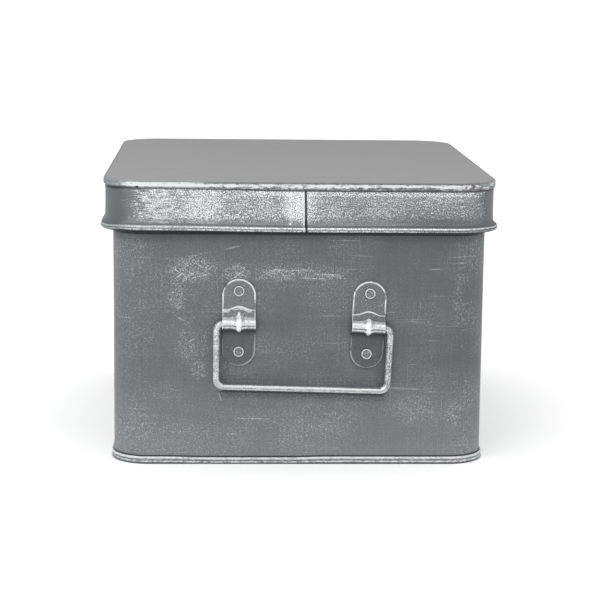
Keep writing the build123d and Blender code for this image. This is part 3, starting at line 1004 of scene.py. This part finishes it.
def top_finish(look, sizes):
    """The lid's top: matt paint on the flat, mottled silver on its turned-down rim, with painted
    shade on its rounded edge, along the far edges, at the rim's foot and in its crimps.
    """
    finish = Finish("Top_paint")
    x, y, z = finish.x, finish.y, finish.z
    near = y.fall(-0.124, -0.112)
    level = finish.grain((60, 900, 60), 81, detail=3)
    fine = finish.grain(900, 83, detail=2)
    mottle = finish.grain((420, 420, 1000), 85, detail=4, roughness=0.7)
    strokes = finish.grain((180, 180, 1500), 87, detail=3)
    rim = z.fall(0.15225, 0.1526)
    # Painted shade on the rounded edge along the near end, away from the left corner
    rounding = z.between(0.1519, 0.1526, 0.0003) * near * x.ramp(-0.062, -0.045)
    spread = x.between(-0.09, 0.084, 0.01)
    high = z.ramp(0.1498, 0.1506)
    leftward = x.fall(-0.06, -0.03)
    line = z.between(0.1506, 0.1513, 0.0003) + leftward * z.ramp(0.15, 0.1506)
    cover = near * spread * (0.24 + high * 0.36 + leftward * 0.35) + 0.1
    cover -= x.fall(-0.097, -0.086) * y.fall(-0.11, -0.09) * 0.9
    silvered = (mottle * 0.65 + strokes * 0.35 + (cover - 0.5) * 0.17).ramp(0.42, 0.58)
    silvered += line * near * spread * (0.25 + mottle.ramp(0.36, 0.56) * 0.25)
    silvered = (silvered * rim * (1 - rounding * 0.8)).clamp()
    outline = finish.inset(0.105, 0.125, 0.024)
    # Painted shade along the far and side edges of the flat top
    far_edge_shade = outline.between(0.0008, 0.0012, 0.0005) * (1 - near) * (1 - rim) * 0.3
    # Painted shade in the crevice at the rim's foot
    raised = x.fall(-0.07, 0) * near * sizes.rim_rise
    crevice = (z - raised).fall(0.1491, 0.1496)
    light = 0.52 + (level - 0.5) * 0.8 + (fine - 0.5) * 0.5 - y * 2.0 - x * 0.6
    painted = finish.tones(light, look.top_paint, 0.8, 1.12)
    worn_rim = finish.tones(mottle.ramp(0.35, 0.65), look.paint, 0.8, 1.7)
    rimmed = finish.mix(rim, painted, worn_rim)
    out = finish.mix(silvered, rimmed, look.silver)
    marks = finish.spots(RIM_MARKS) * near
    out = finish.mix(marks.clamp(), out, look.silver)
    # Painted shade: the darker crimp marks, the far edges, the rounded edge and the rim's foot
    painted_top_shade = ((marks * -1).clamp() + far_edge_shade + rounding * 0.42 + crevice * 0.5).clamp()
    out = finish.mix(painted_top_shade, out, look.shade)
    height = mottle * rim + fine * 0.2
    metallic = silvered * (1 - painted_top_shade) * 0.6 + painted_top_shade ** 4
    return finish.shade(out, 0.55 - silvered * 0.15, metallic, height, 0.08, 0.6)


def handle_finish(look):
    """The wire's worn silver, with painted highlights along the bar and at its bends, and painted
    shade under the bar, along its top edge and on the legs' inner sides.
    """
    finish = Finish("Handle_silver")
    x = finish.x
    up, aside, above_bar = (finish.attribute(name) for name in HANDLE_LAYERS)
    grain = finish.grain(1500, 91, detail=2, roughness=0.6)
    wear = finish.grain(240, 93, detail=3)
    bar = above_bar.fall(2.2, 5)
    inward = x * aside * -22.0
    # Painted highlights along the bar: a bright line on its upper side and a fainter one on its
    # lower side
    line = up.between(0.18, 0.5, 0.12) * bar * 0.95 + up.between(-0.62, -0.42, 0.12) * bar * 0.4
    # Painted highlight on the inner side of the bends at the bar
    bend = (up * inward).ramp(0.1, 0.25) * 1.1
    # Painted shade under the bar and along its top edge, on the right leg and on the legs' inner
    # sides
    below = (up.fall(-0.9, -0.66) * 0.55 + up.ramp(0.64, 0.8) * 0.45) * bar
    below += x.ramp(0.03, 0.04) * (1 - bar) * 0.08
    below += inward.ramp(0.57, 0.95) * (1 - bar) * 0.45
    base = (grain * 0.7 + wear * 0.3).ramp(0.39, 0.59) * (0.92 - bar * 0.38)
    # Worn silver with the painted highlights added and the painted shade taken away
    worn = (base + line + bend - below + 0.08).clamp()
    out = finish.mix(worn, look.paint, look.silver)
    return finish.shade(out, 0.44 - worn * 0.12, 0.15 + worn * 0.5, grain, 0.05, 0.6)


def clip_finish(look):
    """The straps' paint: worn bright at the edges and the crease, with painted highlights on the
    knuckle and the swelling over the pin's head, and painted shade at their sides and below them.
    """
    finish = Finish("Clip_worn_paint_and_highlights")
    x = finish.x
    edge, lift, across, up, facing = (finish.attribute(name) for name in CLIP_LAYERS)
    grain = finish.grain(1300, 95, detail=2, roughness=0.6)
    wear = finish.grain(150, 97, detail=3)
    low_side = up.fall(-12, -7)
    low_side *= (across * (0.5 - x.ramp(-0.01, 0.01))).ramp(-1, 2.5)
    width = up.ramp(5, 15) * 0.22 + low_side * 0.25
    outline = (edge - width).fall(0.35, 0.75) * wear.ramp(0.34, 0.5)
    outline *= 0.55 + up.ramp(4, 14) * 0.45 + across.ramp(2, 7) * 0.2 + low_side * 0.45
    crease = lift.between(0.012, 0.075, 0.012) * up.ramp(3, 4)
    crease *= 0.45 + wear.ramp(0.35, 0.6) * 0.5 + across.size().fall(1, 7) * 0.5
    doubled = lift.between(0.1, 0.3, 0.06) * up.ramp(3, 4) * x.fall(-0.01, 0.01)
    crease += doubled * wear.ramp(0.46, 0.56) * 0.6
    raised = lift.ramp(1.3, 2.1)
    # Painted shade at the sides of the swelling
    flank_shade = across.size().between(1.6, 2.7, 0.5) * (up.ramp(1.4, 2.4) + up.fall(-1.2, -0.2))
    # Painted highlights: a bright band on the knuckle's front and a second line below it
    crown = facing.ramp(-0.1, 0.04) * lift.ramp(1.9, 2.3) * (0.45 + grain.ramp(0.3, 0.55) * 0.6)
    second = facing.between(-0.52, -0.27, 0.08) * raised * (0.35 + grain.ramp(0.35, 0.6) * 0.6)
    crown *= 1 - flank_shade * 0.55
    # Painted highlight: a narrow bright streak down the middle of the swelling
    tall = (lift - 1.0 - x.ramp(-0.01, 0.01) * 0.8).ramp(-0.3, 0.4) * up.ramp(0, 0.5)
    tall += up.fall(0, 0.5) * lift.ramp(0.5, 1.1)
    spindle_highlight = (across.size() - lift * 0.13).fall(0.15, 0.8) * tall
    spindle_highlight *= 0.35 + grain.ramp(0.36, 0.56) * 0.65
    specks = (grain * 0.75 + wear * 0.25).ramp(0.56, 0.7) * 0.45
    # Worn silver together with the painted highlights
    worn = (crown + second + spindle_highlight + outline + crease + specks).clamp()
    shadow = up.ramp(-7.6, -3.3) * up.fall(-3, -1.5) * (1 - raised) * 0.5
    shadow += lift.between(0.03, 1.4, 0.2) * up.fall(-2, -1) * 0.6
    shadow += facing.fall(-0.8, -0.52) * raised * (1 - spindle_highlight * 0.8) * 0.7
    shadow += facing.between(-0.22, -0.15, 0.05) * raised * (1 - spindle_highlight) * 0.35
    light = 0.48 + (grain - 0.5) * 3.6 + (wear - 0.5) * 0.4 - x * 4.5
    painted = finish.tones(light, look.paint, 0.72, 1.18)
    out = finish.mix(worn, painted, look.silver)
    out = finish.mix(shadow.clamp(), out, look.shade)
    # The swelling's streak of painted highlight, nearly white
    out = finish.mix(spindle_highlight * 0.75, out, (0.93, 0.93, 0.93))
    metallic = worn * (1 - spindle_highlight) * 0.5
    return finish.shade(out, 0.46 - worn * 0.14, metallic, grain, 0.05, 0.6)


def rivet_finish(look):
    """The rivets' paint: a worn ring round a mottled dish, with painted shade at the head's edge and
    in the dish.
    """
    finish = Finish("Rivet_worn_paint")
    radius = finish.attribute("from_axis")
    grain = finish.grain(1300, 25, detail=2)
    ring = radius.between(2.26, 2.62, 0.14) * (0.65 + grain.ramp(0.38, 0.56) * 0.5)
    worn = (ring + grain.ramp(0.52, 0.64) * 0.4).clamp()
    out = finish.mix(worn, tuple(0.95 * c for c in look.paint), look.silver)
    # Painted shade at the head's outer edge and in the dip of the dish
    edge = radius.ramp(2.8, 2.9) * 0.5 + radius.between(1.75, 2, 0.12) * 0.35
    out = finish.mix(edge.clamp(), out, look.shade)
    return finish.shade(out, 0.45 - worn * 0.12, worn * 0.6, grain, 0.06, 0.7)


def core_finish(look):
    """Bare drawn wire inside the rolled edges."""
    finish = Finish("Core_wire")
    drawn = finish.grain(300, 31, detail=3)
    out = finish.tones(drawn.ramp(0.3, 0.7), look.wire, 0.7, 1)
    return finish.shade(out, 0.35 + drawn * 0.15, 0.9, drawn, 0.03)


FINISHES = {}


def finish_of(name):
    """One of the box's materials, made on first use."""
    if not FINISHES:
        box = project()
        FINISHES.update(wall=wall_finish(box.look, box.sizes, box.handles),
                        base=base_finish(box.look, box.sizes),
                        band=band_finish(box.look, box.sizes), top=top_finish(box.look, box.sizes),
                        handle=handle_finish(box.look), clip=clip_finish(box.look),
                        rivet=rivet_finish(box.look), core=core_finish(box.look))
    return FINISHES[name]


def project():
    """The box's own settings in this scene."""
    return bpy.context.scene.storage_box


class BoxStep:
    """A making step that runs once and is finished."""

    def execute(self, context):
        self.make(project())
        return {"FINISHED"}


class BOX_OT_lid(BoxStep, Operator):
    """Make the lid's top panel and its rolled band"""

    bl_idname = "storage_box.lid"
    bl_label = "Lid"

    def make(self, box):
        put_in_scene(make_top_panel(box.sizes), "top", "lid", "lid_top_paint", "lid_top_panel")
        put_in_scene(make_band(box.sizes), "band", "lid", "lid_band_paint", "lid_band")


class BOX_OT_body(BoxStep, Operator):
    """Make the walls and the folded base"""

    bl_idname = "storage_box.body"
    bl_label = "Walls and base"

    def make(self, box):
        put_in_scene(make_walls(box.sizes), "wall", "box", "box_paint", "body_wall", name="Walls")
        put_in_scene(make_base(box.sizes), "base", "box", "box_paint", "base_pan")


class BOX_OT_core_wires(BoxStep, Operator):
    """Finish the two wires that the edges are rolled round"""

    bl_idname = "storage_box.core_wires"
    bl_label = "Core wires"

    def make(self, box):
        for name in ("body_rim_wire", "lid_bead_wire"):
            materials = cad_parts[name].data.materials
            materials.clear()
            materials.append(finish_of("core"))


class BOX_OT_handles(BoxStep, Operator):
    """Bend the two drop handles"""

    bl_idname = "storage_box.handles"
    bl_label = "Handles"

    def make(self, box):
        for end in HANDLE_PLACES:
            handle = f"{end}_handle"
            put_in_scene(make_handle(end, box.sizes, box.handles), "handle", handle, "handle_wire",
                         handle, name=f"{end.title()}_handle_wire")


class BOX_OT_clips(BoxStep, Operator):
    """Press the four handle clips"""

    bl_idname = "storage_box.clips"
    bl_label = "Clips"

    def make(self, box):
        for end in HANDLE_PLACES:
            for side in SIDES:
                clip = f"{end}_{side}_clip"
                put_in_scene(make_clip(end, side, box.sizes, box.handles), "clip", "box",
                             "clip_metal", clip, name=f"{clip.capitalize()}_strap")


class BOX_OT_rivets(BoxStep, Operator):
    """Set the eight rivets"""

    bl_idname = "storage_box.rivets"
    bl_label = "Rivets"

    def make(self, box):
        for end in HANDLE_PLACES:
            for side in SIDES:
                for level in LEVELS:
                    node = f"{end}_{side}_{level}_rivet"
                    put_in_scene(make_rivet(end, side, level, box.sizes, box.handles), "rivet",
                                 "box", "rivet_metal", node, name=f"{node.capitalize()}_head")


class BOX_OT_stage(BoxStep, Operator):
    """Lay the floor, set the lights and stand the camera where the photographer stood"""

    bl_idname = "storage_box.stage"
    bl_label = "Floor, lights and camera"

    def make(self, box):
        stage = box.stage
        scene = bpy.context.scene
        far = 80
        bm = bmesh.new()
        bmesh.ops.create_circle(bm, cap_ends=True, segments=96, radius=far)
        pale = Finish("Floor_white")
        white = pale.mix(pale.grain(3, 0, detail=2), (0.95, 0.95, 0.95), (0.97, 0.97, 0.97))
        glow = {"Specular IOR Level": 0.0, "Emission Color": (1, 1, 1, 1),
                "Emission Strength": stage.floor_glow}
        floor = add_mesh("Floor", bm, pale.shade(white, 0.9, more=glow))
        add_light("Ceiling_light", "SUN", stage.key, (0, 0, 0), (0.12, 0.28, -1), angle=radians(70))
        add_light("Front_softbox", "AREA", stage.fill, (-0.9, -1.5, 0.9), (0, 0, 0.1),
                  shape="RECTANGLE", size=0.9, size_y=0.9)
        world = bpy.data.worlds.new("Studio_white")
        world.use_nodes = True
        sky = world.node_tree.nodes["Background"]
        sky.inputs["Color"].default_value = (1, 1, 1, 1)
        sky.inputs["Strength"].default_value = stage.sky
        scene.world = world
        lens = bpy.data.cameras.new("Camera")
        lens.lens = stage.lens
        lens.sensor_width = 36
        scene.camera = stand("Camera", lens, (-0.04122, -1.09301, 0.26194),
                             (-0.00015, -0.12, 0.08958), stage.roll)
        scene.view_settings.view_transform = "Standard"


STEPS = (BOX_OT_lid, BOX_OT_body, BOX_OT_core_wires, BOX_OT_handles, BOX_OT_clips, BOX_OT_rivets,
         BOX_OT_stage)


class BOX_PT_panel(Panel):
    """Lists the box's sizes, finishes and making steps"""

    bl_label = "Storage Box"
    bl_idname = "BOX_PT_panel"
    bl_space_type = "VIEW_3D"
    bl_region_type = "UI"
    bl_category = "Storage Box"

    def draw(self, context):
        for title, group in (("Shells", project().sizes), ("Handles", project().handles),
                             ("Finishes", project().look), ("Stage", project().stage)):
            column = self.layout.box().column()
            column.label(text=title)
            for name in type(group).__annotations__:
                column.prop(group, name, text=name.replace("_", " ").capitalize())
        for step in STEPS:
            self.layout.operator(step.bl_idname)


CLASSES = (BoxSizes, HandleSizes, FinishLook, StageLook, BoxProject, *STEPS, BOX_PT_panel)


def register():
    """Add the box's settings, steps and panel to Blender."""
    for made in CLASSES:
        bpy.utils.register_class(made)
    bpy.types.Scene.storage_box = PointerProperty(type=BoxProject)


def unregister():
    """Take them out again."""
    del bpy.types.Scene.storage_box
    for made in reversed(CLASSES):
        bpy.utils.unregister_class(made)


def main():
    """Make the whole box."""
    register()
    for step in STEPS:
        getattr(bpy.ops.storage_box, step.bl_idname.split(".")[1])()


if __name__ == "__main__":
    main()
